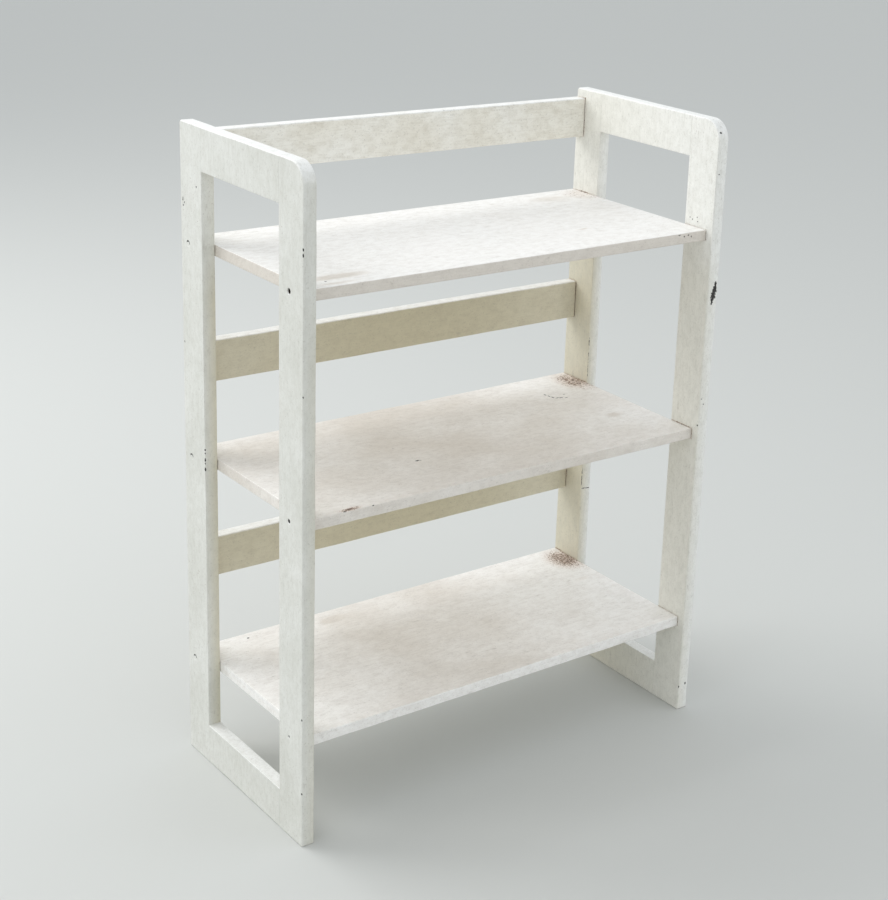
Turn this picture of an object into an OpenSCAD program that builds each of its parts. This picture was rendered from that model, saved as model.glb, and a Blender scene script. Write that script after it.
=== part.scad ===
// Open shelf with three boards between two ladder-like side frames.
// X runs along the width, Y from the front (-Y) to the back (+Y), Z up from the floor.
// The origin is on the floor, at the middle of the width and of the depth.

/* [Overall size] */
// Width over the outer faces of the two side frames
unit_w = 700; // [500:5:1000]
// Depth of the side frames, front to back
unit_d = 324; // [260:2:420]
// Height of the side frames
unit_h = 937; // [890:1:1200]

/* [Side frames] */
// Thickness of the posts and of the rails between them
frame_t = 19; // [17:0.5:28]
// Width of each post, front to back
post_w = 60; // [50:1:80]
// Height of the frame rail at the top
frame_top_h = 60; // [45:1:80]
// Height of the frame rail that stands on the floor
frame_foot_h = 60; // [45:1:80]
// Radius of the rounded top front corner
front_corner_r = 30; // [8:1:40]
// Radius of the top rear corner
rear_corner_r = 5; // [2:0.5:15]
// Radius of the eased long edges of every board
edge_r = 2; // [0.5:0.5:3]

/* [Shelves] */
// Thickness of each shelf
shelf_t = 16; // [14:0.5:25]
// Distance from the front of the posts back to the front edge of a shelf
shelf_setback = 13; // [4:1:20]
// Height of the upper face of the top shelf
top_shelf_z = 776; // [700:1:790]
// Height of the upper face of the middle shelf
middle_shelf_z = 469; // [400:1:500]
// Height of the upper face of the bottom shelf
bottom_shelf_z = 157; // [110:1:200]

/* [Back rails] */
// Height of each back rail
back_rail_h = 60; // [45:1:80]
// Thickness of each back rail
back_rail_t = 20; // [16:0.5:25]
// Distance from the back of the posts forward to the back of a rail
back_rail_setback = 1; // [0:0.5:6]
// Drop from the top of the side frames to the top back rail
top_rail_drop = 14; // [5:1:25]
// Free height between the middle shelf and the rail above it
middle_rail_gap = 100; // [60:1:140]
// Free height between the bottom shelf and the rail above it
bottom_rail_gap = 117; // [60:1:140]

/* [Shelf screws] */
// Diameter of the screw shank
screw_d = 5; // [4:0.5:6]
// Diameter of the screw head
screw_head_d = 8; // [7:0.5:9]
// Height of the screw head
screw_head_h = 3; // [2:0.5:4]
// Depth of the head below the outer face of the post
screw_sink = 1.5; // [0.5:0.5:4]
// Length of shank inside the shelf
screw_reach = 34; // [25:1:50]
// Width across the flats of the hexagon socket
screw_socket_af = 4; // [3:0.5:4.5]
// Height of the screws above the middle of a shelf's thickness
screw_rise = 3; // [-3:0.5:3.5]
// Distance from the front of a front post to its screws
front_screw_inset = 35; // [22:1:42]
// Distance from the back of a rear post to its screws
rear_screw_inset = 20; // [12:1:38]

/* [Dowels] */
// Diameter of the dowels
dowel_d = 8; // [6:1:10]
// Distance between the two dowels of a joint
dowel_pitch = 32; // [20:1:36]
// Length of dowel inside a frame rail and inside the post beside it
frame_dowel_reach = 18; // [12:1:25]
// Length of dowel inside the end of a back rail
rail_dowel_reach = 24; // [15:1:35]
// Length of dowel inside the inner face of a post
post_dowel_reach = 12; // [8:1:14]

/* [Fit] */
// Clearance round a screw head and round the shank in the post
screw_clear = 0.2; // [0.1:0.1:0.5]
// Free depth past the end of each dowel and each screw
bore_end_gap = 1; // [0.5:0.5:2]

/* [Hidden] */
$fn = 48;

// Colours of the paint on each kind of board, and of what holds them together
paint_frame = [0.87, 0.87, 0.84];
paint_shelf = [0.91, 0.89, 0.86];
paint_rail = [0.84, 0.81, 0.74];
metal = [0.30, 0.29, 0.28];
beech = [0.80, 0.66, 0.47];

// Faces of the side frames
inner_x = unit_w / 2 - frame_t;
front_y = -unit_d / 2;
back_y = unit_d / 2;
// Inner ends of the posts, between which the frame rails run
window_front_y = front_y + post_w;
window_back_y = back_y - post_w;
window_d = unit_d - 2 * post_w;
// Shelves and back rails run from one side frame to the other
inner_w = 2 * inner_x;
shelf_d = unit_d - shelf_setback;
shelf_zs = [top_shelf_z, middle_shelf_z, bottom_shelf_z];
// Bottom edges of the back rails
top_rail_z = unit_h - top_rail_drop - back_rail_h;
middle_rail_z = middle_shelf_z + middle_rail_gap;
bottom_rail_z = bottom_shelf_z + bottom_rail_gap;
back_rail_mid_y = back_y - back_rail_setback - back_rail_t / 2;
// Depths of the screw seat and of the bores
seat_depth = screw_sink + screw_head_h;
socket_depth = screw_head_h * 0.7;
frame_bore_depth = frame_dowel_reach + bore_end_gap;
// Screw positions, front to back, and the height of a shelf's screws over its upper face
screw_ys = [front_y + front_screw_inset, back_y - rear_screw_inset];
screw_level = screw_rise - shelf_t / 2;
// How far a cutting tool runs past the face that it opens
past = 1;

// ---------- Shapes shared by the boards ----------

// Rectangle of w by t from the origin, with the corners at x = 0 rounded by low
// and those at x = w rounded by high
module eased_section(w, t, low, high) {
  translate([low, 0]) square([w - low - high, t]);
  if (low > 0) eased_side(low, t);
  if (high > 0) translate([w, 0]) mirror([1, 0]) eased_side(high, t);
}

// Strip r wide with a quarter circle at each end of its outer side
module eased_side(r, t) {
  translate([0, r]) square([r, t - 2 * r]);
  for (y = [r, t - r])
    translate([r, y]) circle(r);
}

// Turns a section drawn in Y and Z into a board of length len that runs along X
module run_along_x(len) {
  translate([-len / 2, 0, 0]) rotate([90, 0, 90]) linear_extrude(height = len) children();
}

// Places a piece drawn for the left side frame on the right one
module on_right() {
  mirror([1, 0, 0]) children();
}

// Bore of diameter d along +X from x = 0, opened past its mouth
module bore_x(d, depth) {
  translate([-past, 0, 0]) rotate([0, 90, 0]) cylinder(d = d, h = depth + past);
}

// Heights of the two dowels in a joint of height h that starts at z
function dowel_zs(z, h) = [z + h / 2 - dowel_pitch / 2, z + h / 2 + dowel_pitch / 2];

// ---------- Side frames, drawn for the left side ----------

// Bores for the shelf screws: a seat for each head and a clearance hole for its shank
module screw_bores(y) {
  for (z = shelf_zs)
    translate([-unit_w / 2, y, z + screw_level]) {
      bore_x(screw_head_d + 2 * screw_clear, seat_depth);
      bore_x(screw_d + 2 * screw_clear, frame_t + past);
    }
}

// Blind bores in the window face of a post; dir is +1 when they run towards +Y
module frame_dowel_bores(y, dir) {
  for (z = concat(dowel_zs(unit_h - frame_top_h, frame_top_h), dowel_zs(0, frame_foot_h)))
    translate([-unit_w / 2 + frame_t / 2, y - dir * past, z])
      rotate([-90 * dir, 0, 0]) cylinder(d = dowel_d, h = frame_bore_depth + past);
}

// Outline of a post seen from the side, with its outer top corner rounded to radius r
module post_outline(r) {
  difference() {
    square([post_w, unit_h]);
    translate([0, unit_h - r]) corner_waste(r);
  }
}

// What is cut away outside a quarter circle of radius r at a top left corner
module corner_waste(r) {
  difference() {
    translate([-past, 0]) square([r + past, r + past]);
    translate([r, 0]) circle(r);
  }
}

// A post with its outer edges eased, drawn from its outer side at y = 0 towards +Y
module post(corner_r) {
  intersection() {
    linear_extrude(height = unit_h)
      translate([frame_t, 0]) rotate(90) eased_section(post_w, frame_t, edge_r, 0);
    rotate([90, 0, 90]) linear_extrude(height = frame_t) post_outline(corner_r);
  }
}

module rear_post() {
  color(paint_frame) difference() {
    translate([-unit_w / 2, back_y, 0]) mirror([0, 1, 0]) post(rear_corner_r);
    screw_bores(screw_ys[1]);
    frame_dowel_bores(window_back_y, 1);
    for (z = [top_rail_z, middle_rail_z, bottom_rail_z], dowel_z = dowel_zs(z, back_rail_h))
      translate([-inner_x, back_rail_mid_y, dowel_z])
        mirror([1, 0, 0]) bore_x(dowel_d, post_dowel_reach + bore_end_gap);
  }
}

module front_post() {
  color(paint_frame) difference() {
    translate([-unit_w / 2, front_y, 0]) post(front_corner_r);
    screw_bores(screw_ys[0]);
    frame_dowel_bores(window_front_y, -1);
  }
}

// Frame rail of height h from z, with its outer edge eased at the top or at the foot
module frame_rail(z, h, foot_r, top_r) {
  color(paint_frame) difference() {
    translate([-unit_w / 2, window_back_y, z])
      rotate([90, 0, 0]) linear_extrude(height = window_d)
        translate([frame_t, 0]) rotate(90) eased_section(h, frame_t, foot_r, top_r);
    for (dowel_z = dowel_zs(z, h)) {
      translate([-unit_w / 2 + frame_t / 2, window_front_y - past, dowel_z])
        rotate([-90, 0, 0]) cylinder(d = dowel_d, h = frame_bore_depth + past);
      translate([-unit_w / 2 + frame_t / 2, window_back_y + past, dowel_z])
        rotate([90, 0, 0]) cylinder(d = dowel_d, h = frame_bore_depth + past);
    }
  }
}

module frame_top_rail() {
  frame_rail(unit_h - frame_top_h, frame_top_h, 0, edge_r);
}

module frame_foot_rail() {
  frame_rail(0, frame_foot_h, edge_r, 0);
}

// Four dowels: two at each end of the frame rail of height h that starts at z
module frame_dowels(z, h) {
  color(beech)
    for (y = [window_front_y, window_back_y], dowel_z = dowel_zs(z, h))
      translate([-unit_w / 2 + frame_t / 2, y, dowel_z])
        rotate([90, 0, 0]) cylinder(d = dowel_d, h = 2 * frame_dowel_reach, center = true);
}

// ---------- Shelves ----------

// Shelf whose upper face is at z, with blind bores for its screws in both ends
module shelf(z) {
  color(paint_shelf) difference() {
    translate([0, front_y + shelf_setback, z - shelf_t])
      run_along_x(inner_w) eased_section(shelf_d, shelf_t, edge_r, edge_r);
    for (side = [0, 1], y = screw_ys)
      mirror([side, 0, 0]) translate([-inner_x, y, z + screw_level])
        bore_x(screw_d, screw_reach + bore_end_gap);
  }
}

// Four screws of a shelf, with sunk heads in the outer faces of the posts
module shelf_screws(z) {
  color(metal)
    for (side = [0, 1], y = screw_ys)
      mirror([side, 0, 0]) translate([-unit_w / 2, y, z + screw_level]) screw();
}

// Screw along +X: a head with a hexagon socket, a shank and a short pointed end
module screw() {
  shank_end = frame_t + screw_reach;
  tip = screw_d / 2;
  difference() {
    rotate([0, 90, 0]) union() {
      translate([0, 0, screw_sink]) cylinder(d = screw_head_d, h = screw_head_h);
      translate([0, 0, seat_depth]) cylinder(d = screw_d, h = shank_end - tip - seat_depth);
      translate([0, 0, shank_end - tip]) cylinder(d1 = screw_d, d2 = screw_d / 4, h = tip);
    }
    translate([screw_sink - past, 0, 0]) rotate([0, 90, 0])
      cylinder(d = screw_socket_af / cos(30), h = socket_depth + past, $fn = 6);
  }
}

// ---------- Back rails ----------

// Back rail whose lower edge is at z, with blind dowel bores in both ends
module back_rail(z) {
  color(paint_rail) difference() {
    translate([0, back_rail_mid_y - back_rail_t / 2, z])
      run_along_x(inner_w) eased_section(back_rail_t, back_rail_h, edge_r, edge_r);
    for (side = [0, 1], dowel_z = dowel_zs(z, back_rail_h))
      mirror([side, 0, 0]) translate([-inner_x, back_rail_mid_y, dowel_z])
        bore_x(dowel_d, rail_dowel_reach + bore_end_gap);
  }
}

// Four dowels: two at each end of the back rail whose lower edge is at z
module back_rail_dowels(z) {
  color(beech)
    for (side = [0, 1], dowel_z = dowel_zs(z, back_rail_h))
      mirror([side, 0, 0])
        translate([-inner_x - post_dowel_reach, back_rail_mid_y, dowel_z])
          rotate([0, 90, 0]) cylinder(d = dowel_d, h = post_dowel_reach + rail_dowel_reach);
}

// ---------- One module per piece ----------

module left_rear_post() { rear_post(); }
module left_front_post() { front_post(); }
module left_frame_top_rail() { frame_top_rail(); }
module left_frame_foot_rail() { frame_foot_rail(); }
module right_rear_post() { on_right() rear_post(); }
module right_front_post() { on_right() front_post(); }
module right_frame_top_rail() { on_right() frame_top_rail(); }
module right_frame_foot_rail() { on_right() frame_foot_rail(); }
module top_back_rail() { back_rail(top_rail_z); }
module middle_back_rail() { back_rail(middle_rail_z); }
module bottom_back_rail() { back_rail(bottom_rail_z); }
module top_shelf() { shelf(top_shelf_z); }
module middle_shelf() { shelf(middle_shelf_z); }
module bottom_shelf() { shelf(bottom_shelf_z); }
module top_shelf_screws() { shelf_screws(top_shelf_z); }
module middle_shelf_screws() { shelf_screws(middle_shelf_z); }
module bottom_shelf_screws() { shelf_screws(bottom_shelf_z); }
module left_frame_top_dowels() { frame_dowels(unit_h - frame_top_h, frame_top_h); }
module left_frame_foot_dowels() { frame_dowels(0, frame_foot_h); }
module right_frame_top_dowels() { on_right() frame_dowels(unit_h - frame_top_h, frame_top_h); }
module right_frame_foot_dowels() { on_right() frame_dowels(0, frame_foot_h); }
module top_back_rail_dowels() { back_rail_dowels(top_rail_z); }
module middle_back_rail_dowels() { back_rail_dowels(middle_rail_z); }
module bottom_back_rail_dowels() { back_rail_dowels(bottom_rail_z); }

left_rear_post();
left_front_post();
left_frame_top_rail();
left_frame_foot_rail();
right_rear_post();
right_front_post();
right_frame_top_rail();
right_frame_foot_rail();
top_back_rail();
middle_back_rail();
bottom_back_rail();
top_shelf();
middle_shelf();
bottom_shelf();
top_shelf_screws();
middle_shelf_screws();
bottom_shelf_screws();
left_frame_top_dowels();
left_frame_foot_dowels();
right_frame_top_dowels();
right_frame_foot_dowels();
top_back_rail_dowels();
middle_back_rail_dowels();
bottom_back_rail_dowels();
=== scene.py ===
import math

import bpy
import numpy as np
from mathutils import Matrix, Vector


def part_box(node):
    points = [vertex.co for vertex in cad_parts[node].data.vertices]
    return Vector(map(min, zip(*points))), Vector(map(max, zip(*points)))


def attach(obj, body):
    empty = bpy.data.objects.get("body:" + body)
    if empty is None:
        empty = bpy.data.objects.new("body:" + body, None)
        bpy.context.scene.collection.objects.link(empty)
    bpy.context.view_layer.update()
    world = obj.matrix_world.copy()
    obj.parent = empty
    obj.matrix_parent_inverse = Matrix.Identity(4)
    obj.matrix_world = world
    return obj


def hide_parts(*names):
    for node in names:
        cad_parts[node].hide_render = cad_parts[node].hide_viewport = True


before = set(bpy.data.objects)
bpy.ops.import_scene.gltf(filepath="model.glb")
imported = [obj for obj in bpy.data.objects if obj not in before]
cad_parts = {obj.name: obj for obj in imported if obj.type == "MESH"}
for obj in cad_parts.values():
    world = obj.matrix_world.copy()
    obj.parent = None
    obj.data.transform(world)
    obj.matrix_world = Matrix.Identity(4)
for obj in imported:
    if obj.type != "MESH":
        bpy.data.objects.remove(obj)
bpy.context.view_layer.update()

# ---------- Posts ----------
# Four straight boards of planed pine, 19 mm thick, that stand on the floor and run the full
# height of the shelf. Their outer edges are sanded round, and the front one is sawn to a quarter
# circle at the top. The shelf screws are sunk in their outer faces and painted over.
mm = 0.001

POST_EDGE = 2.2 * mm      # sanded edges
WINDOW_EDGE = 0.8 * mm    # edges towards the open window of the frame
JOINT_EDGE = 0.04 * mm    # where a frame rail is glued on
FRONT_CORNER = 30 * mm    # quarter circle at the top front
REAR_CORNER = 5 * mm
BOARD_STEP = 6 * mm       # widest spacing of the points along a board
SEAT = 4.2 * mm           # radius of the sunk seat of a shelf screw
SEAT_CALM = 10 * mm       # how far from a screw the points still make way for its seat
SEAT_DEPTH = 0.35 * mm    # how far the paint has sunk in a seat
SEAT_SLOPE = 1.2 * mm     # width of the slope at the seat's rim
HOLE_SLOPE = 0.25 * mm    # width of the slope at the rim of an open hole
SCREW_HEAD = 4 * mm       # radius of a shelf screw's head
SAME_PLANE = 0.1 * mm     # a point this close to a face is on it
PAINT_LOST = 0.5 * mm     # how far a flaked spot goes in
FLAKE_RAGGED = 0.22       # how ragged its outline is, as a share of its radius
FLAKE_WAVE = 3 * mm
JOINT_DIRT_AND_SHADE_REACH = 2 * mm       # how far dirt and the painted shade of a joint gap spread from the end of a board
EDGE_WAVE = 80 * mm       # how often the sanding of an edge goes deeper and back


def eased(low, high, radii, step=BOARD_STEP):
    """Stations across a board: from each edge in by a radius less that radius times the tangent
    of 45, 30, 15 and 0 degrees, for each radius, then two just past the widest radius, which
    keep the flat face flat, then about one step apart."""
    ease = np.array([r * (1 - math.tan(math.radians(a))) for r in radii for a in (45, 30, 15, 0)])
    past = max(radii) * 1.3
    ease = np.append(ease, [past, past + 0.5 * mm])
    count = max(2, round((high - low) / step))
    inside = np.linspace(low, high, count + 1)
    inside = inside[(inside > low + ease[-1]) & (inside < high - ease[-1])]
    return np.concatenate([low + ease, inside, high - ease])


def board_skin(stations):
    """Closed skin of the box that three lists of stations span: each side is a grid over two of
    the lists, and the points along the edges are shared. Gives the points, and faces that run
    anticlockwise seen from outside."""
    lists = [np.unique(np.round(s, 5)) for s in stations]
    n = [len(s) for s in lists]
    stride = (n[1] * n[2], n[2], 1)
    sides = []
    for axis in range(3):
        u, v = (axis + 1) % 3, (axis + 2) % 3
        i, j = np.meshgrid(np.arange(n[u]), np.arange(n[v]), indexing="ij")
        for end, turn in ((0, -1), (n[axis] - 1, 1)):
            key = i * stride[u] + j * stride[v] + end * stride[axis]
            side = [key[:-1, :-1], key[1:, :-1], key[1:, 1:], key[:-1, 1:]]
            sides.append(np.stack(side, -1).reshape(-1, 4)[:, ::turn])
    keys, faces = np.unique(np.concatenate(sides), return_inverse=True)
    places = (keys // stride[0], keys // stride[1] % n[1], keys % n[2])
    points = np.stack([s[p] for s, p in zip(lists, places)], 1)
    return points, faces.reshape(-1, 4)


def ripple(points, wavelength, seed):
    """Smooth wander from about -1 to 1: the sum of eight sine waves of about that wavelength,
    each with its own direction and phase."""
    draw = np.random.default_rng(seed)
    ways = draw.normal(size=(8, 3))
    ways /= np.linalg.norm(ways, axis=1, keepdims=True) * draw.uniform(0.7, 1.4, (8, 1))
    phases = draw.uniform(0, 2 * np.pi, 8)
    return np.sin(points @ ways.T * 2 * np.pi / wavelength + phases).sum(1) / 3


def wander(points, wavelength, seed, most):
    """Factors that let the radius of a hand-sanded edge wander along it: a ripple about 1."""
    return np.clip(1 + most * ripple(points, wavelength, seed), 0.5, 1.5)[:, None]


def thin_dirt(points, wavelength, seed):
    """The dirt that lies on any board: a slow ripple just below what shows."""
    return -0.1 + 0.12 * ripple(points, wavelength, seed)


def ease_edges(points, radii, core=None):
    """Rounds a board's edges. Each point is drawn back to the box that lies the radii inside the
    board, or to the core given, and put out again along the same line by the radii, so that flat
    faces stay flat."""
    if core is None:
        core = np.clip(points, points.min(0) + radii, points.max(0) - radii)
    out = (points - core) / radii
    return core + radii * out / np.maximum(np.linalg.norm(out, axis=1, keepdims=True), 1e-9)


def round_corner(points, centre, outward, radii):
    """Bends the square top corner of a post to a quarter circle, seen from the side. Past the
    circle's centre, a point's distance from it becomes the larger of its two offsets. Returns
    the core of the post, whose corner is a quarter circle smaller by the radii."""
    core = np.clip(points, points.min(0) + radii, points.max(0) - radii)
    offset = (points[:, 1:] - centre) * outward
    distance = offset.max(1)
    rounded = (offset > 0).all(1)
    share = np.where(rounded, distance / np.maximum(np.linalg.norm(offset, axis=1), 1e-9), 1)
    points[:, 1:] = centre + offset * outward * share[:, None]
    drawn_in = np.minimum(1, (distance.max() - radii[:, 1]) / np.maximum(distance, 1e-9))
    core[rounded, 1:] = (centre + (points[:, 1:] - centre) * drawn_in[:, None])[rounded]
    return core


def sink_seat(points, outer_x, inward, y, z, hole, hole_depth):
    """Presses a screw's seat into the outer face of a post. Squares of points about the screw
    become circles, less and less so out to where the face is calm. Within the seat the paint
    has sunk a little, and within the hole, if there is one, it is open to its depth. Returns how
    far each point is from the screw, as a share of the seat."""
    on_face = np.abs(points[:, 0] - outer_x) < SAME_PLANE
    offset = points[:, 1:] - (y, z)
    square = np.abs(offset).max(1)
    near = on_face & (square < SEAT_CALM)
    calm = np.clip((square - 1.2 * SEAT) / (SEAT_CALM - 1.2 * SEAT), 0, 1)
    round_share = square / np.maximum(np.linalg.norm(offset, axis=1), 1e-9)
    share = 1 + (round_share - 1) * (1 - calm)
    points[near, 1:] = (y, z) + offset[near] * share[near, None]
    sunk = SEAT_DEPTH * np.clip((SEAT + SEAT_SLOPE / 4 - square) / SEAT_SLOPE, 0, 1)
    sunk += hole_depth * np.clip((hole - square) / HOLE_SLOPE, 0, 1)
    points[near, 0] += inward * sunk[near]
    return np.where(near, square / SEAT, 9)


def dirt_round(points, inner_x, ends):
    """Dirt caught round the ends of the boards that meet the inner face of a post, laid on
    stronger as painted shade for the dark gap at each joint. A point's distance from a board's
    outline is the larger of its distances past the board's depth and height; the value falls
    evenly from 1 at the outline to 0 at the reach of the dirt and shade."""
    value = np.zeros(len(points))
    on_face = np.abs(points[:, 0] - inner_x) < SAME_PLANE
    for low, high in ends:
        past = np.maximum(np.abs(points[:, 1] - (low.y + high.y) / 2) - (high.y - low.y) / 2,
                          np.abs(points[:, 2] - (low.z + high.z) / 2) - (high.z - low.z) / 2)
        value = np.maximum(value, np.clip(1 - np.abs(past) / JOINT_DIRT_AND_SHADE_REACH, 0, 1))
    return np.where(on_face, value, 0)


def flake_off(points, flakes, seed):
    """Paint lost in small spots, given as a middle and three radii in millimetres. Each spot is
    an ellipsoid whose value falls from 1 at its middle to 0 at its skin; a ripple makes its
    outline ragged. Points inside go in towards the board's middle line. Returns the largest
    value at each point, and at least -1."""
    value = np.full(len(points), -1.0)
    for middle, radii in flakes:
        reach = (points / mm - middle) / radii
        value = np.maximum(value, 1 - np.linalg.norm(reach, axis=1))
    ragged = value + FLAKE_RAGGED * ripple(points, FLAKE_WAVE, seed)
    value = np.where(value > -1, ragged, value)
    core = np.clip(points, points.min(0) + 4 * mm, points.max(0) - 4 * mm)
    inward = core - points
    inward /= np.maximum(np.linalg.norm(inward, axis=1, keepdims=True), 1e-9)
    points += inward * np.clip(value * 3, 0, 1)[:, None] * PAINT_LOST
    return value


def flake_stations(flakes, axis):
    """Stations that follow each flaked spot along one axis, as shares of its radius from its
    middle: more of them for a spot of over 1.5 mm."""
    fine = np.array([-1.6, -1.2, -0.9, -0.6, -0.3, 0, 0.3, 0.6, 0.9, 1.2, 1.6])
    coarse = np.array([-1.4, -0.9, -0.45, 0, 0.45, 0.9, 1.4])
    places = [(middle[axis] + (fine if radii[axis] > 1.5 else coarse) * radii[axis]) * mm
              for middle, radii in flakes]
    return np.concatenate(places) if places else np.array([])


def within(stations, low, high):
    """The stations inside the board, clear of its eased edges."""
    return stations[(stations > low) & (stations < high)]


def make_piece(name, points, faces, material, replaced, slot, painted_top_light, **fields):
    """Puts a skin's points and faces into a mesh, with a smooth surface and one value a point
    for each field, and lets it stand for its CAD node. The more a point's normal turns up, the
    less painted shade it takes, and the further the value that holds grime and painted light is
    pulled below zero, towards a painted near-white, by up to the value given for that: painted
    sky light on upward faces."""
    mesh = bpy.data.meshes.new(name)
    mesh.from_pydata(points, [], faces.tolist())
    mesh.polygons.foreach_set("use_smooth", np.ones(len(faces), bool))
    mesh.materials.append(material)
    mesh.update()
    normals = np.empty(3 * len(points), np.float32)
    mesh.vertex_normals.foreach_get("vector", normals)
    # Painted light: the faces that turn up are painted lighter, and take less painted shade.
    upward = np.clip((normals[2::3] - 0.1) / 0.6, 0, 1)
    fields["grime"] = fields["grime"] - painted_top_light * upward
    fields["yellowed"] = fields["yellowed"] * (1 - upward)
    for field, values in fields.items():
        layer = mesh.attributes.new(field, "FLOAT", "POINT")
        layer.data.foreach_set("value", values.astype(np.float32))
    piece = bpy.data.objects.new(name, mesh)
    bpy.context.scene.collection.objects.link(piece)
    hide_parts(replaced)
    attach(piece, "root")


def linear(hex_colour):
    """An sRGB colour such as "E8E6DF" as linear red, green, blue and alpha."""
    srgb = np.array([int(hex_colour[i:i + 2], 16) for i in (0, 2, 4)]) / 255
    curve = np.where(srgb <= 0.04045, srgb / 12.92, ((srgb + 0.055) / 1.055) ** 2.4)
    return (*curve, 1.0)


def add(material, kind, inputs=None, **settings):
    """Adds a node to a material, sets its own settings, and gives each named input a value, or a
    link where the value is another node's output."""
    tree = material.node_tree
    made = tree.nodes.new("ShaderNode" + kind)
    for name, value in settings.items():
        setattr(made, name, value)
    for name, value in (inputs or {}).items():
        if isinstance(value, bpy.types.NodeSocket):
            tree.links.new(value, made.inputs[name])
        else:
            made.inputs[name].default_value = value
    return made


def blank_material(name):
    """A new material whose node tree is empty."""
    material = bpy.data.materials.new(name)
    material.use_nodes = True
    material.node_tree.nodes.clear()
    return material


def mottle(material, grain_axis, width, length, detail, roughness):
    """Noise with features of that width across a board and that length along it."""
    size = [width] * 3
    size[grain_axis] = length
    place = add(material, "TexCoord").outputs["Object"]
    turned = add(material, "Mapping", {"Vector": place, "Scale": [1 / s for s in size]})
    return add(material, "TexNoise", {
        "Vector": turned.outputs[0], "Scale": 1.0, "Detail": detail,
        "Roughness": roughness}).outputs["Fac"]


def coat(material, under, value, none_at, full_at, most, hex_colour):
    """A colour laid over what is under it: none of it where the value is at one limit, and most
    where it is at the other."""
    share = add(material, "MapRange", {
        "Value": value, "From Min": none_at, "From Max": full_at, "To Max": most})
    return add(material, "Mix", {"Factor": share.outputs[0], 6: under, 7: linear(hex_colour)},
               data_type="RGBA").outputs[2]


def old_enamel(name, paint, aged, stain, grain_axis, grit_share=0.36):
    """Oil enamel brushed on pine over a dark undercoat and left out for years: an off-white that
    has aged in clouds a hand wide and blotches a finger wide, painted near-white where it faces
    up as painted sky light and a dull yellow under the shelves as painted shade, with smears,
    grit caught in the brush marks, rusty dirt in the corners that along the joint gaps also
    stands in as painted shade, and flakes that show the undercoat. Satin, duller where it is worn."""
    material = blank_material(name)
    marks = mottle(material, grain_axis, 2.2 * mm, 45 * mm, 2.0, 0.6)
    blotches = mottle(material, grain_axis, 9 * mm, 14 * mm, 5.0, 0.75)
    clouds = mottle(material, grain_axis, 90 * mm, 120 * mm, 4.0, 0.6)
    smears = mottle(material, grain_axis, 7 * mm, 22 * mm, 4.0, 0.7)
    grit = mottle(material, grain_axis, 2.6 * mm, 3.2 * mm, 3.0, 0.8)
    grains = mottle(material, grain_axis, 3.2 * mm, 3.2 * mm, 3.0, 0.8)
    ragged = mottle(material, grain_axis, 1.6 * mm, 1.6 * mm, 2.0, 0.5)
    # Four fields come with each piece: grime, which is below zero where painted light makes the
    # paint near-white, painted shade as a dull yellow, rusty dirt that is also painted shade in
    # the joint gaps, and flaked paint.
    grime, yellowed, dirt, flaked = (
        add(material, "Attribute", attribute_name=field, attribute_type="GEOMETRY").outputs["Fac"]
        for field in ("grime", "yellowed", "dirt", "flaked"))
    aged_by = add(material, "Math", {0: clouds, 1: grime}, operation="ADD").outputs[0]
    dirty_by = add(material, "Math", {0: grains, 1: 4.0, 2: dirt},
                   operation="MULTIPLY_ADD").outputs[0]
    bare_by = add(material, "Math", {0: ragged, 1: flaked}, operation="ADD").outputs[0]
    # From the paint outwards: aged, near-white as painted light, dull yellow as painted shade,
    # stained three ways, gritty, then a halo of rust with brown and near black grains in it, which
    # along the joint gaps is also painted shade, and last the bare undercoat.
    colour = coat(material, linear(paint), aged_by, 0.3, 0.95, 1.0, aged)
    # Painted light: near-white where the value is below zero, mostly on faces that turn up.
    colour = coat(material, colour, grime, 0, -1, 0.85, "F6F6F3")
    # Painted shade: a dull yellow on the frames below the top shelf and on the lower back rails.
    colour = coat(material, colour, yellowed, 0, 1, 1.0, "CEC6AA")
    colour = coat(material, colour, blotches, 0.42, 0.76, 0.36, stain)
    colour = coat(material, colour, marks, 0.5, 0.8, 0.2, stain)
    colour = coat(material, colour, smears, 0.62, 0.78, 0.45, "9C9487")
    colour = coat(material, colour, grit, 0.57, 0.74, grit_share, "857E72")
    # Rusty dirt, with darker grains below; along the gaps at the joints it also stands in as
    # painted shade.
    colour = coat(material, colour, dirt, 0.1, 1.2, 0.45, "C7A893")
    colour = coat(material, colour, dirty_by, 2.7, 2.95, 0.75, "8A6A50")
    colour = coat(material, colour, dirty_by, 3.0, 3.4, 0.9, "40312A")
    colour = coat(material, colour, bare_by, 0.56, 0.7, 1.0, "211F1D")
    ridges = add(material, "Bump", {"Height": marks, "Strength": 0.3, "Distance": 0.1 * mm})
    pits = add(material, "Bump", {
        "Height": blotches, "Strength": 0.25, "Distance": 0.4 * mm, "Normal": ridges.outputs[0]})
    roughness = add(material, "MapRange", {
        "Value": blotches, "From Min": 0.35, "From Max": 0.75, "To Min": 0.48, "To Max": 0.72})
    shader = add(material, "BsdfPrincipled", {
        "Base Color": colour, "Roughness": roughness.outputs[0],
        "Normal": pits.outputs[0], "IOR": 1.5})
    add(material, "OutputMaterial", {"Surface": shader.outputs[0]})
    return material


frame_enamel = old_enamel("old_enamel_on_frames", "EDEDE8", "D6D6CE", "B8B6AA", grain_axis=2)
# The left side frame is painted a darker tone than the right one.
FRAME_TONE = {"left": 0.22, "right": -0.6}

# How open the paint over each screw is: radius and depth of the hole in millimetres, for the
# top, middle and bottom shelf.
FRONT_HOLES = {"left": ((4.1, 3.6), (3.0, 1.0), (1.8, 0.9)),
               "right": ((2.4, 1.0), (0, 0), (4.1, 3.6))}
REAR_HOLES = {"left": ((0, 0), (0, 0), (0, 0)), "right": ((0, 0), (1.8, 0.9), (0, 0))}

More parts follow.
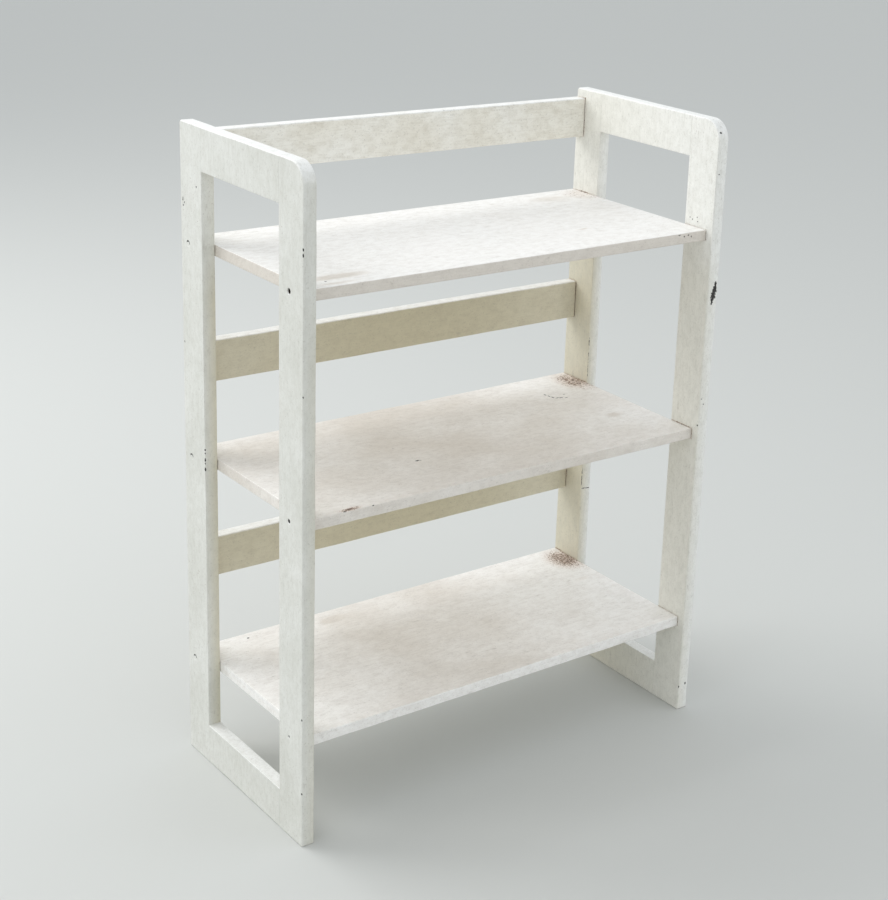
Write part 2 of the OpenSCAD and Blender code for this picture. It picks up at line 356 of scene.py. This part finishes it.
# Spots where the paint is gone: middle and radii, in millimetres.
POST_FLAKES = {
    "left_rear_post": [
        ((-350, 102, 487), (1.8, 1.8, 2.0)), ((-350, 102, 482), (1.4, 1.4, 1.8)),
        ((-350, 102, 472), (1.8, 1.8, 2.6)), ((-350, 102, 467), (1.4, 1.4, 1.6)),
        ((-350, 102, 458), (1.8, 1.8, 2.8)),
        ((-350, 157, 629), (0.8, 1.2, 1.8)), ((-350, 155, 831), (0.8, 1.3, 3.0)),
        ((-350, 151, 826), (0.8, 0.9, 1.6)), ((-350, 154, 822), (0.8, 2.0, 1.4)),
        ((-350, 116, 854), (0.8, 1.4, 1.6))],
    "left_front_post": [
        ((-350, -161, 831), (1.6, 1.4, 2.0)), ((-350, -161, 824), (1.2, 1.2, 3.2)),
        ((-350, -162, 642), (1.8, 1.6, 2.0)), ((-350, -161, 192), (1.5, 1.4, 2.0)),
        ((-350, -161, 81), (1.4, 1.4, 1.8))],
    "right_rear_post": [
        ((337, 102, 284), (4.5, 0.9, 1.0)), ((345, 102, 283), (4.5, 0.9, 0.9)),
        ((332, 102.6, 538), (0.8, 0.9, 14)), ((332, 102.6, 512), (0.8, 0.9, 16)),
        ((332, 102.6, 488), (0.7, 0.8, 14)), ((332, 102.6, 318), (0.8, 0.9, 14)),
        ((332, 102.6, 298), (0.8, 0.9, 12))],
    "right_front_post": [
        ((335.5, -159.2, 920), (2.1, 2.4, 2.1)), ((335.5, -162, 860), (1.3, 1.2, 1.5)),
        ((345.0, -162, 694), (2.4, 2, 6.5)), ((344.0, -162, 687), (4.8, 2, 7.5)),
        ((341.8, -162, 679), (5.4, 2, 8.0)), ((340.0, -162, 670.5), (3.0, 2, 6.5)),
        ((331, -160, 477), (1.6, 1.6, 1.4)), ((331.2, -161.5, 40), (1.4, 1.4, 2.4)),
        ((344.6, -162, 43), (1.9, 1.6, 1.9)),
        ((331, -66.6, 783.3), (0.8, 1.0, 1.0)), ((331, -76.1, 779.5), (0.8, 1.0, 0.9)),
        ((331, -84.5, 785.5), (0.8, 1.2, 1.0)), ((331, -91.8, 779.4), (0.8, 0.9, 1.0)),
        ((331, -112.4, 787.5), (0.8, 1.1, 1.0)), ((331, -118, 785.5), (0.8, 1.3, 1.0)),
        ((331, -127.5, 790), (0.8, 1.0, 1.0)), ((331, -129, 784), (0.8, 1.3, 0.9)),
        ((333.6, -162, 519), (1.0, 0.8, 1.0)), ((338.4, -162, 510), (1.0, 0.8, 1.2))],
}

BOARD_THICKNESS = 19 * mm
SHADE_DEPTH = 60 * mm     # how far below the top shelf the shade is full
WINDOW_DEPTH = 204 * mm   # from the front post to the rear one


def frame_painted_shade(points, inner_x):
    """How much painted shade, as a dull yellow, a side frame takes: most on its inner face,
    below the top shelf and at the rear, and falling evenly to nothing on the outer face. A
    product of three slopes."""
    inside = np.clip(1 - np.abs(points[:, 0] - inner_x) / BOARD_THICKNESS, 0, 1)
    shaded = np.clip((shelf_boxes[0][0].z - points[:, 2]) / SHADE_DEPTH, 0, 1)
    rearward = np.clip(points[:, 1] / WINDOW_DEPTH + 0.5, 0, 1)
    return inside * (0.25 + 0.5 * shaded) * (0.4 + 0.6 * rearward)


# Stations about the end of a board, about a joint with a rail, and about a screw.
end_lines = np.array([-2, -1, -0.4, 0, 0.4, 1, 2, 3]) * mm
joint_lines = np.array([-0.3, 0.3]) * mm
seat_rings = np.array([0, 0.8, 1.6, 1.85, 2.3, 2.8, 3.05, 3.5, 3.9, 4.15, 4.5, 5.2, 6.6, 8.2, 10])
seat_rings = np.concatenate([-seat_rings[:0:-1], seat_rings]) * mm
shelf_boxes = [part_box(level + "_shelf") for level in ("top", "middle", "bottom")]
rail_boxes = [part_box(level + "_back_rail") for level in ("top", "middle", "bottom")]
screw_boxes = [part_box(level + "_shelf_screws") for level in ("top", "middle", "bottom")]
screw_zs = [(low.z + high.z) / 2 for low, high in screw_boxes]

for number, (name, flakes) in enumerate(POST_FLAKES.items()):
    side, row = name.split("_")[:2]
    low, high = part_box(name)
    outer_x, inward = (low.x, 1) if side == "left" else (high.x, -1)
    front = row == "front"
    outer_y, window_y, outward = (low.y, high.y, -1) if front else (high.y, low.y, 1)
    corner = FRONT_CORNER if front else REAR_CORNER
    inner_x = high.x if side == "left" else low.x
    screw_y = screw_boxes[0][0].y + SCREW_HEAD if front else screw_boxes[0][1].y - SCREW_HEAD
    ends = shelf_boxes if front else shelf_boxes + rail_boxes
    joint_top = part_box(side + "_frame_top_rail")[0].z
    joint_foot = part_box(side + "_frame_foot_rail")[1].z
    turn = corner * np.tan(np.radians(np.arange(5, 46, 5)))
    edges = (POST_EDGE, WINDOW_EDGE)
    xs = np.concatenate([eased(low.x, high.x, edges),
                         within(flake_stations(flakes, 0), low.x + POST_EDGE, high.x - POST_EDGE)])
    ys = np.concatenate([
        eased(low.y, high.y, edges), outer_y - outward * (corner - turn),
        screw_y + seat_rings,
        within(np.concatenate([flake_stations(flakes, 1), *[e[0].y + end_lines for e in ends]]),
               low.y + POST_EDGE, high.y - POST_EDGE)])
    zs = np.concatenate([
        eased(low.z, high.z, edges), high.z - corner + turn,
        *[z + seat_rings for z in screw_zs],
        *[e[0].z - end_lines for e in ends], *[e[1].z + end_lines for e in ends],
        joint_top + joint_lines, joint_foot + joint_lines,
        within(flake_stations(flakes, 2), low.z + POST_EDGE, high.z - POST_EDGE)])
    points, faces = board_skin((xs, ys, zs))
    # Towards the window the edges are sharp, and next to a rail they are a mere hairline.
    window_side = np.abs(points[:, 1] - window_y) < np.abs(points[:, 1] - outer_y)
    in_joint = (points[:, 2] > joint_top) | (points[:, 2] < joint_foot)
    radii = np.full(points.shape, POST_EDGE)
    radii[window_side & ~in_joint] = WINDOW_EDGE
    radii *= wander(points, EDGE_WAVE, number, 0.18)
    radii[window_side & in_joint, 1] = JOINT_EDGE
    core = round_corner(points, np.array([outer_y - outward * corner, high.z - corner]),
                        np.array([outward, 1]), radii)
    points = ease_edges(points, radii, core)
    flaked = flake_off(points, flakes, number + 10)
    holes = (FRONT_HOLES if front else REAR_HOLES)[side]
    for z, (hole, depth) in zip(screw_zs, holes):
        reach = sink_seat(points, outer_x, inward, screw_y, z, hole * mm, depth * mm)
        # Bare inside the hole; round a closed seat the paint has cracked for part of the way.
        bare = np.where(reach * SEAT < hole * mm, 1, -1)
        angle = np.arctan2(points[:, 2] - z, points[:, 1] - screw_y)
        crack = 0.9 - np.abs(reach - 0.95) * 3 - np.clip(np.abs(angle - 2.0) - 1.0, 0, 9)
        flaked = np.maximum(flaked, np.where(reach < 2, bare if hole else crack, -1))
    dirt = thin_dirt(points, 160 * mm, number + 20)
    # Dirt round the ends of the boards on the inner face, with painted shade for the joint gaps.
    dirt += dirt_round(points, inner_x, ends) * (0.8 + 0.3 * ripple(points, 50 * mm, number))
    make_piece(name + "_board", points, faces, frame_enamel, name, "frame_paint", painted_top_light=1.1,
               grime=FRAME_TONE[side] + 0 * dirt, yellowed=frame_painted_shade(points, inner_x),
               dirt=dirt, flaked=flaked)

# ---------- Frame rails ----------
# Short boards of the same pine between the front and rear post of a side frame, one at the top
# and one on the floor, doweled and glued to the posts with their faces flush.
for number, name in enumerate(("left_frame_top_rail", "left_frame_foot_rail",
                               "right_frame_top_rail", "right_frame_foot_rail")):
    low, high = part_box(name)
    side, at_top = name.split("_")[0], "top" in name
    inner_x = high.x if side == "left" else low.x
    points, faces = board_skin((
        eased(low.x, high.x, (POST_EDGE, WINDOW_EDGE)), eased(low.y, high.y, (JOINT_EDGE,)),
        eased(low.z, high.z, (POST_EDGE, WINDOW_EDGE))))
    # The long edges away from the window are sanded like those of the posts.
    upper = points[:, 2] > (low.z + high.z) / 2
    radii = np.where((upper == at_top)[:, None], POST_EDGE, WINDOW_EDGE) * np.ones(3)
    radii *= wander(points, EDGE_WAVE, number + 30, 0.18)
    radii[:, 1] = JOINT_EDGE
    points = ease_edges(points, radii)
    dirt = thin_dirt(points, 160 * mm, number + 40)
    make_piece(name + "_board", points, faces, frame_enamel, name, "frame_paint", painted_top_light=1.1,
               grime=FRAME_TONE[side] + 0 * dirt, yellowed=frame_painted_shade(points, inner_x),
               dirt=dirt, flaked=-1 + 0 * dirt)

# ---------- Back rails ----------
# Three boards 60 mm high between the rear posts, on blind dowels. The two lower ones are painted
# a dull yellow as painted shade from the shelves above them. A hair of a gap is left at each end.
BACK_EDGE = 2.0 * mm
END_GAP = 0.9 * mm        # gap between a board's end and the post
END_EDGE = 0.7 * mm
GAP_DIRT_AND_SHADE = 2.5 * mm       # how far the dirt and painted shade in the gap come along the board

rail_enamel = old_enamel("old_enamel_on_back_rails", "F8F6EE", "EAE5D8", "AFA58E",
                         grain_axis=0, grit_share=0.45)

RAIL_FLAKES = {
    "top_back_rail": [((66, 141, 923), (5, 1.0, 0.7)), ((79, 141, 923), (6, 1.0, 0.7)),
                      ((97, 141, 923), (4, 1.0, 0.7)), ((139, 141, 923), (3, 1.0, 0.7))],
    "middle_back_rail": [],
    "bottom_back_rail": [],
}
for number, (name, flakes) in enumerate(RAIL_FLAKES.items()):
    low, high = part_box(name)
    left, right = low.x + END_GAP, high.x - END_GAP
    points, faces = board_skin((
        np.concatenate([eased(left, right, (END_EDGE,), 2 * BOARD_STEP),
                        flake_stations(flakes, 0)]),
        eased(low.y, high.y, (BACK_EDGE,)),
        eased(low.z, high.z, (BACK_EDGE,))))
    radii = np.full(points.shape, BACK_EDGE)
    radii *= wander(points, EDGE_WAVE, number + 50, 0.2)
    radii[:, 0] = END_EDGE
    points = ease_edges(points, radii)
    flaked = flake_off(points, flakes, number + 60)
    # Rusty dirt has settled in the gaps at the ends, laid on darker as painted shade of the gaps.
    end = np.minimum(points[:, 0] - left, right - points[:, 0])
    dirt = thin_dirt(points, 120 * mm, number + 70)
    dirt += 0.9 * np.clip(1 - end / GAP_DIRT_AND_SHADE, 0, 1)
    grime = 0.15 * ripple(points, 90 * mm, number)
    # Painted shade: the lower rails are painted a dull yellow, a little less towards their ends;
    # the top rail hardly at all.
    yellowed = 0.08 if name == "top_back_rail" else 1 - 0.3 * (points[:, 0] / right) ** 2
    make_piece(name + "_board", points, faces, rail_enamel, name, "rail_paint", painted_top_light=1,
               grime=grime, yellowed=yellowed + 0 * dirt, dirt=dirt, flaked=flaked)

# ---------- Shelves ----------
# Boards 16 mm thick, screwed through the posts at each corner. Their enamel is chalky and
# mottled a pinkish beige where pots and rain have stood, with rusty dirt by the rear posts.
SHELF_EDGE = 1.6 * mm
TOP_SKIN = 0.5 * mm       # a point within this of the top counts as on the upper face
END_DIRT_AND_SHADE = 3 * mm         # width of the line of dirt and painted shade along the right end
AGED_MIDDLE = -40 * mm    # where along a shelf the enamel has aged most
AGED_SPREAD = 240 * mm    # and how far that spreads, to 37 %

shelf_enamel = old_enamel("old_enamel_on_shelves", "F8F5F0", "DFD8CE", "B9B0A5", grain_axis=0)
# How far the enamel of each shelf has aged, over all and more at the middle of its length.
SHELF_GRIME = {"top_shelf": (-0.4, 0.1), "middle_shelf": (-0.15, 0.5), "bottom_shelf": (-0.4, 0.6)}
# The edges take one even tone per shelf: aged darker on the top and middle shelves, and painted
# near-white on the bottom shelf as painted light, for the shade the shelf above casts.
SHELF_EDGE_TONE_AND_LIGHT = {"top_shelf": 0.7, "middle_shelf": 0.3, "bottom_shelf": -0.5}
# Beige stains: middle, radii and strength.
SHELF_STAINS = {"top_shelf": [((-270, -112), (50, 13), 1.2), ((-285, -139), (36, 5), 1.0),
                              ((170, -59), (9, 5), 1.6), ((255, 120), (60, 25), 0.5)],
                "middle_shelf": [((270, -40), (14, 9), 0.8)],
                "bottom_shelf": [((-125, 131), (22, 9), 1.0), ((292, 40), (20, 8), 0.6)]}

SHELF_FLAKES = {
    "top_shelf": [((288, -149, 771), (1.3, 1, 1.2)), ((296, -149, 772), (1.5, 1, 1.2)),
                  ((302, -149, 769.5), (1.2, 1, 1.2)), ((279, -149, 774), (2.4, 1, 0.8)),
                  ((-296, -125, 776), (2.2, 1.5, 0.8))],
    "middle_shelf": [((-279, -148, 469), (2.2, 1.2, 0.9)), ((-236, -149, 468.5), (2, 1.2, 0.9)),
                     ((234.7, 87, 469), (1.0, 4.6, 0.8)), ((236, 79, 469), (1.0, 4.6, 0.8)),
                     ((237.6, 71.5, 469), (1.3, 4.8, 0.8)), ((242, 66, 469), (4.6, 1.3, 0.8)),
                     ((249, 64, 469), (4.6, 1.3, 0.8)), ((256, 60, 469), (3.5, 1.0, 0.8)),
                     ((261, 74, 469), (3.5, 0.9, 0.8)), ((-96, -45, 469), (3.4, 2.2, 1.2)),
                     ((-92, -47, 469), (1.4, 1.0, 0.8)), ((-98, 14, 469), (2, 1.0, 0.8))],
    "bottom_shelf": [((-261, 146.6, 157), (2.0, 1.6, 0.8))],
}
# Patches of dirt: middle, radii and strength. One lies by each right rear post, and one along a
# scrape on the front edge.
SHELF_DIRT = {"top_shelf": [((313, 119), (28, 40), 0.6)],
              "middle_shelf": [((313, 119), (28, 40), 1.0), ((-268, -145), (15, 4.5), 1.5)],
              "bottom_shelf": [((313, 119), (28, 40), 1.1)]}
dirt_lines = np.arange(3, 24, 3) * mm     # stations in the dirt and painted shade at the right end
for number, (name, flakes) in enumerate(SHELF_FLAKES.items()):
    low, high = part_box(name)
    left, right = low.x + END_GAP, high.x - END_GAP
    points, faces = board_skin((
        np.concatenate([eased(left, right, (END_EDGE,), 2 * BOARD_STEP),
                        flake_stations(flakes, 0), right - dirt_lines]),
        np.concatenate([eased(low.y, high.y, (SHELF_EDGE,)),
                        within(flake_stations(flakes, 1), low.y + SHELF_EDGE,
                               high.y - SHELF_EDGE)]),
        np.concatenate([eased(low.z, high.z, (SHELF_EDGE,)),
                        within(flake_stations(flakes, 2), low.z + SHELF_EDGE,
                               high.z - SHELF_EDGE)])))
    radii = np.full(points.shape, SHELF_EDGE)
    radii *= wander(points, 60 * mm, number + 80, 0.25)
    radii[:, 0] = END_EDGE
    points = ease_edges(points, radii)
    flaked = flake_off(points, flakes, number + 90)
    dirt = thin_dirt(points, 150 * mm, number + 100)
    on_top = points[:, 2] > high.z - TOP_SKIN
    for middle, spread, strength in SHELF_DIRT[name]:
        off = np.linalg.norm((points[:, :2] / mm - middle) / spread, axis=1)
        dirt += on_top * strength * np.clip(1.45 - off, 0, 1)
    # A line of dirt and painted shade along the right end, where the gap to the post shows dark.
    dirt += 0.35 * np.clip(1 - (right - points[:, 0]) / END_DIRT_AND_SHADE, 0, 1)
    over_all, at_middle = SHELF_GRIME[name]
    from_middle = (points[:, 0] - AGED_MIDDLE) / AGED_SPREAD
    grime = over_all + at_middle * np.exp(-from_middle ** 2)
    grime += 0.08 * ripple(points, 130 * mm, number + 110)
    for middle, spread, strength in SHELF_STAINS[name]:
        off = np.linalg.norm((points[:, :2] / mm - middle) / spread, axis=1)
        grime += strength * np.clip(1.2 - off, 0, 1)
    # All faces but the upper one take the shelf's edge tone, which on the bottom shelf is painted
    # light.
    grime = np.where(on_top, grime, SHELF_EDGE_TONE_AND_LIGHT[name])
    make_piece(name + "_board", points, faces, shelf_enamel, name, "shelf_paint", painted_top_light=0,
               grime=grime, yellowed=0 * dirt, dirt=dirt, flaked=flaked)

# ---------- Shelf screws ----------
# Steel confirmat-type screws with a hexagon socket, blackened, and now brown with rust. The
# heads sit in the seats of the posts, and most are under the paint.
screw_steel = blank_material("blackened_screw_steel")
place = add(screw_steel, "TexCoord").outputs["Object"]
rust_spots = add(screw_steel, "TexNoise", {
    "Vector": place, "Scale": 1 / (2 * mm), "Detail": 4.0, "Roughness": 0.7})
rust_share = add(screw_steel, "MapRange", {
    "Value": rust_spots.outputs["Fac"], "From Min": 0.45, "From Max": 0.65})
screw_colour = add(screw_steel, "Mix", {
    "Factor": rust_share.outputs[0], 6: linear("2B2927"), 7: linear("4A3527")}, data_type="RGBA")
screw_rough = add(screw_steel, "MapRange", {
    "Value": rust_spots.outputs["Fac"], "To Min": 0.4, "To Max": 0.85})
screw_shader = add(screw_steel, "BsdfPrincipled", {
    "Base Color": screw_colour.outputs[2], "Metallic": 0.6, "Roughness": screw_rough.outputs[0]})
add(screw_steel, "OutputMaterial", {"Surface": screw_shader.outputs[0]})

# ---------- Dowels ----------
# Turned beech pins 8 mm across, fluted and glued blind into the ends of the rails.
dowel_beech = blank_material("turned_beech_dowels")
place = add(dowel_beech, "TexCoord").outputs["Object"]
pores = add(dowel_beech, "TexNoise", {
    "Vector": place, "Scale": 1 / (1.2 * mm), "Detail": 3.0, "Roughness": 0.6})
beech_colour = add(dowel_beech, "Mix", {
    "Factor": pores.outputs["Fac"], 6: linear("D2AF82"), 7: linear("B88D5E")}, data_type="RGBA")
beech_shader = add(dowel_beech, "BsdfPrincipled", {
    "Base Color": beech_colour.outputs[2], "Roughness": 0.6, "IOR": 1.5})
add(dowel_beech, "OutputMaterial", {"Surface": beech_shader.outputs[0]})

FITTINGS = {"screws": (screw_steel, "screw_steel"), "dowels": (dowel_beech, "dowel_beech")}
for name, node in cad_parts.items():
    kind = name.split("_")[-1]
    if kind in FITTINGS:
        material, slot = FITTINGS[kind]
        node.data.materials.clear()
        node.data.materials.append(material)

# ---------- Floor, light and camera ----------
# A plain pale floor under a large soft light from the upper left and behind, with the light of
# an open sky all round, and the camera in front and to the left.
floor_paint = bpy.data.materials.new("plain_floor")
floor_paint.use_nodes = True
floor_shader = floor_paint.node_tree.nodes["Principled BSDF"]
floor_shader.inputs["Base Color"].default_value = linear("CBCCC8")
floor_shader.inputs["Roughness"].default_value = 0.9
floor_mesh = bpy.data.meshes.new("floor")
FLOOR_REACH = 12          # metres from the middle of the floor to its edge
floor_mesh.from_pydata([(FLOOR_REACH * x, FLOOR_REACH * y, 0)
                        for x, y in ((-1, -1), (1, -1), (1, 1), (-1, 1))], [], [(0, 1, 2, 3)])
floor_mesh.materials.append(floor_paint)
floor = bpy.data.objects.new("floor", floor_mesh)
bpy.context.scene.collection.objects.link(floor)


def softbox(name, place, target, size, power, hex_colour):
    """A square lamp at a place, turned to face a target, with its size in metres."""
    lamp = bpy.data.lights.new(name, "AREA")
    lamp.shape, lamp.size, lamp.energy = "SQUARE", size, power
    lamp.color = linear(hex_colour)[:3]
    holder = bpy.data.objects.new(name, lamp)
    bpy.context.scene.collection.objects.link(holder)
    holder.location = place
    holder.rotation_euler = (Vector(target) - Vector(place)).to_track_quat("-Z", "Y").to_euler()


softbox("sky_behind", (-1.5, 2.3, 3.0), (0, 0, 0.45), 2.6, 72, "FFFFFF")
softbox("sky_left", (-3.2, -0.5, 1.2), (0.1, 0, 0.4), 1.8, 8, "FFFFFF")
softbox("sky_right", (1.5, -1.5, 0.6), (0.3, 0, 0.4), 0.9, 3, "FFFFFF")

sky = bpy.data.worlds.new("open_sky")
sky.use_nodes = True
sky.node_tree.nodes["Background"].inputs["Color"].default_value = linear("F2F6FA")
sky.node_tree.nodes["Background"].inputs["Strength"].default_value = 0.92
bpy.context.scene.world = sky
bpy.context.scene.view_settings.view_transform = "Standard"

lens = bpy.data.cameras.new("camera")
lens.sensor_fit, lens.sensor_width = "HORIZONTAL", 36
lens.lens = 71.032
lens.shift_x, lens.shift_y = -0.108, -0.1156
camera = bpy.data.objects.new("camera", lens)
bpy.context.scene.collection.objects.link(camera)
camera.location = (-1.3997, -1.9471, 1.3641)
camera.rotation_euler = [math.radians(a) for a in (72.592, -2.474, -37.747)]
bpy.context.scene.camera = camera
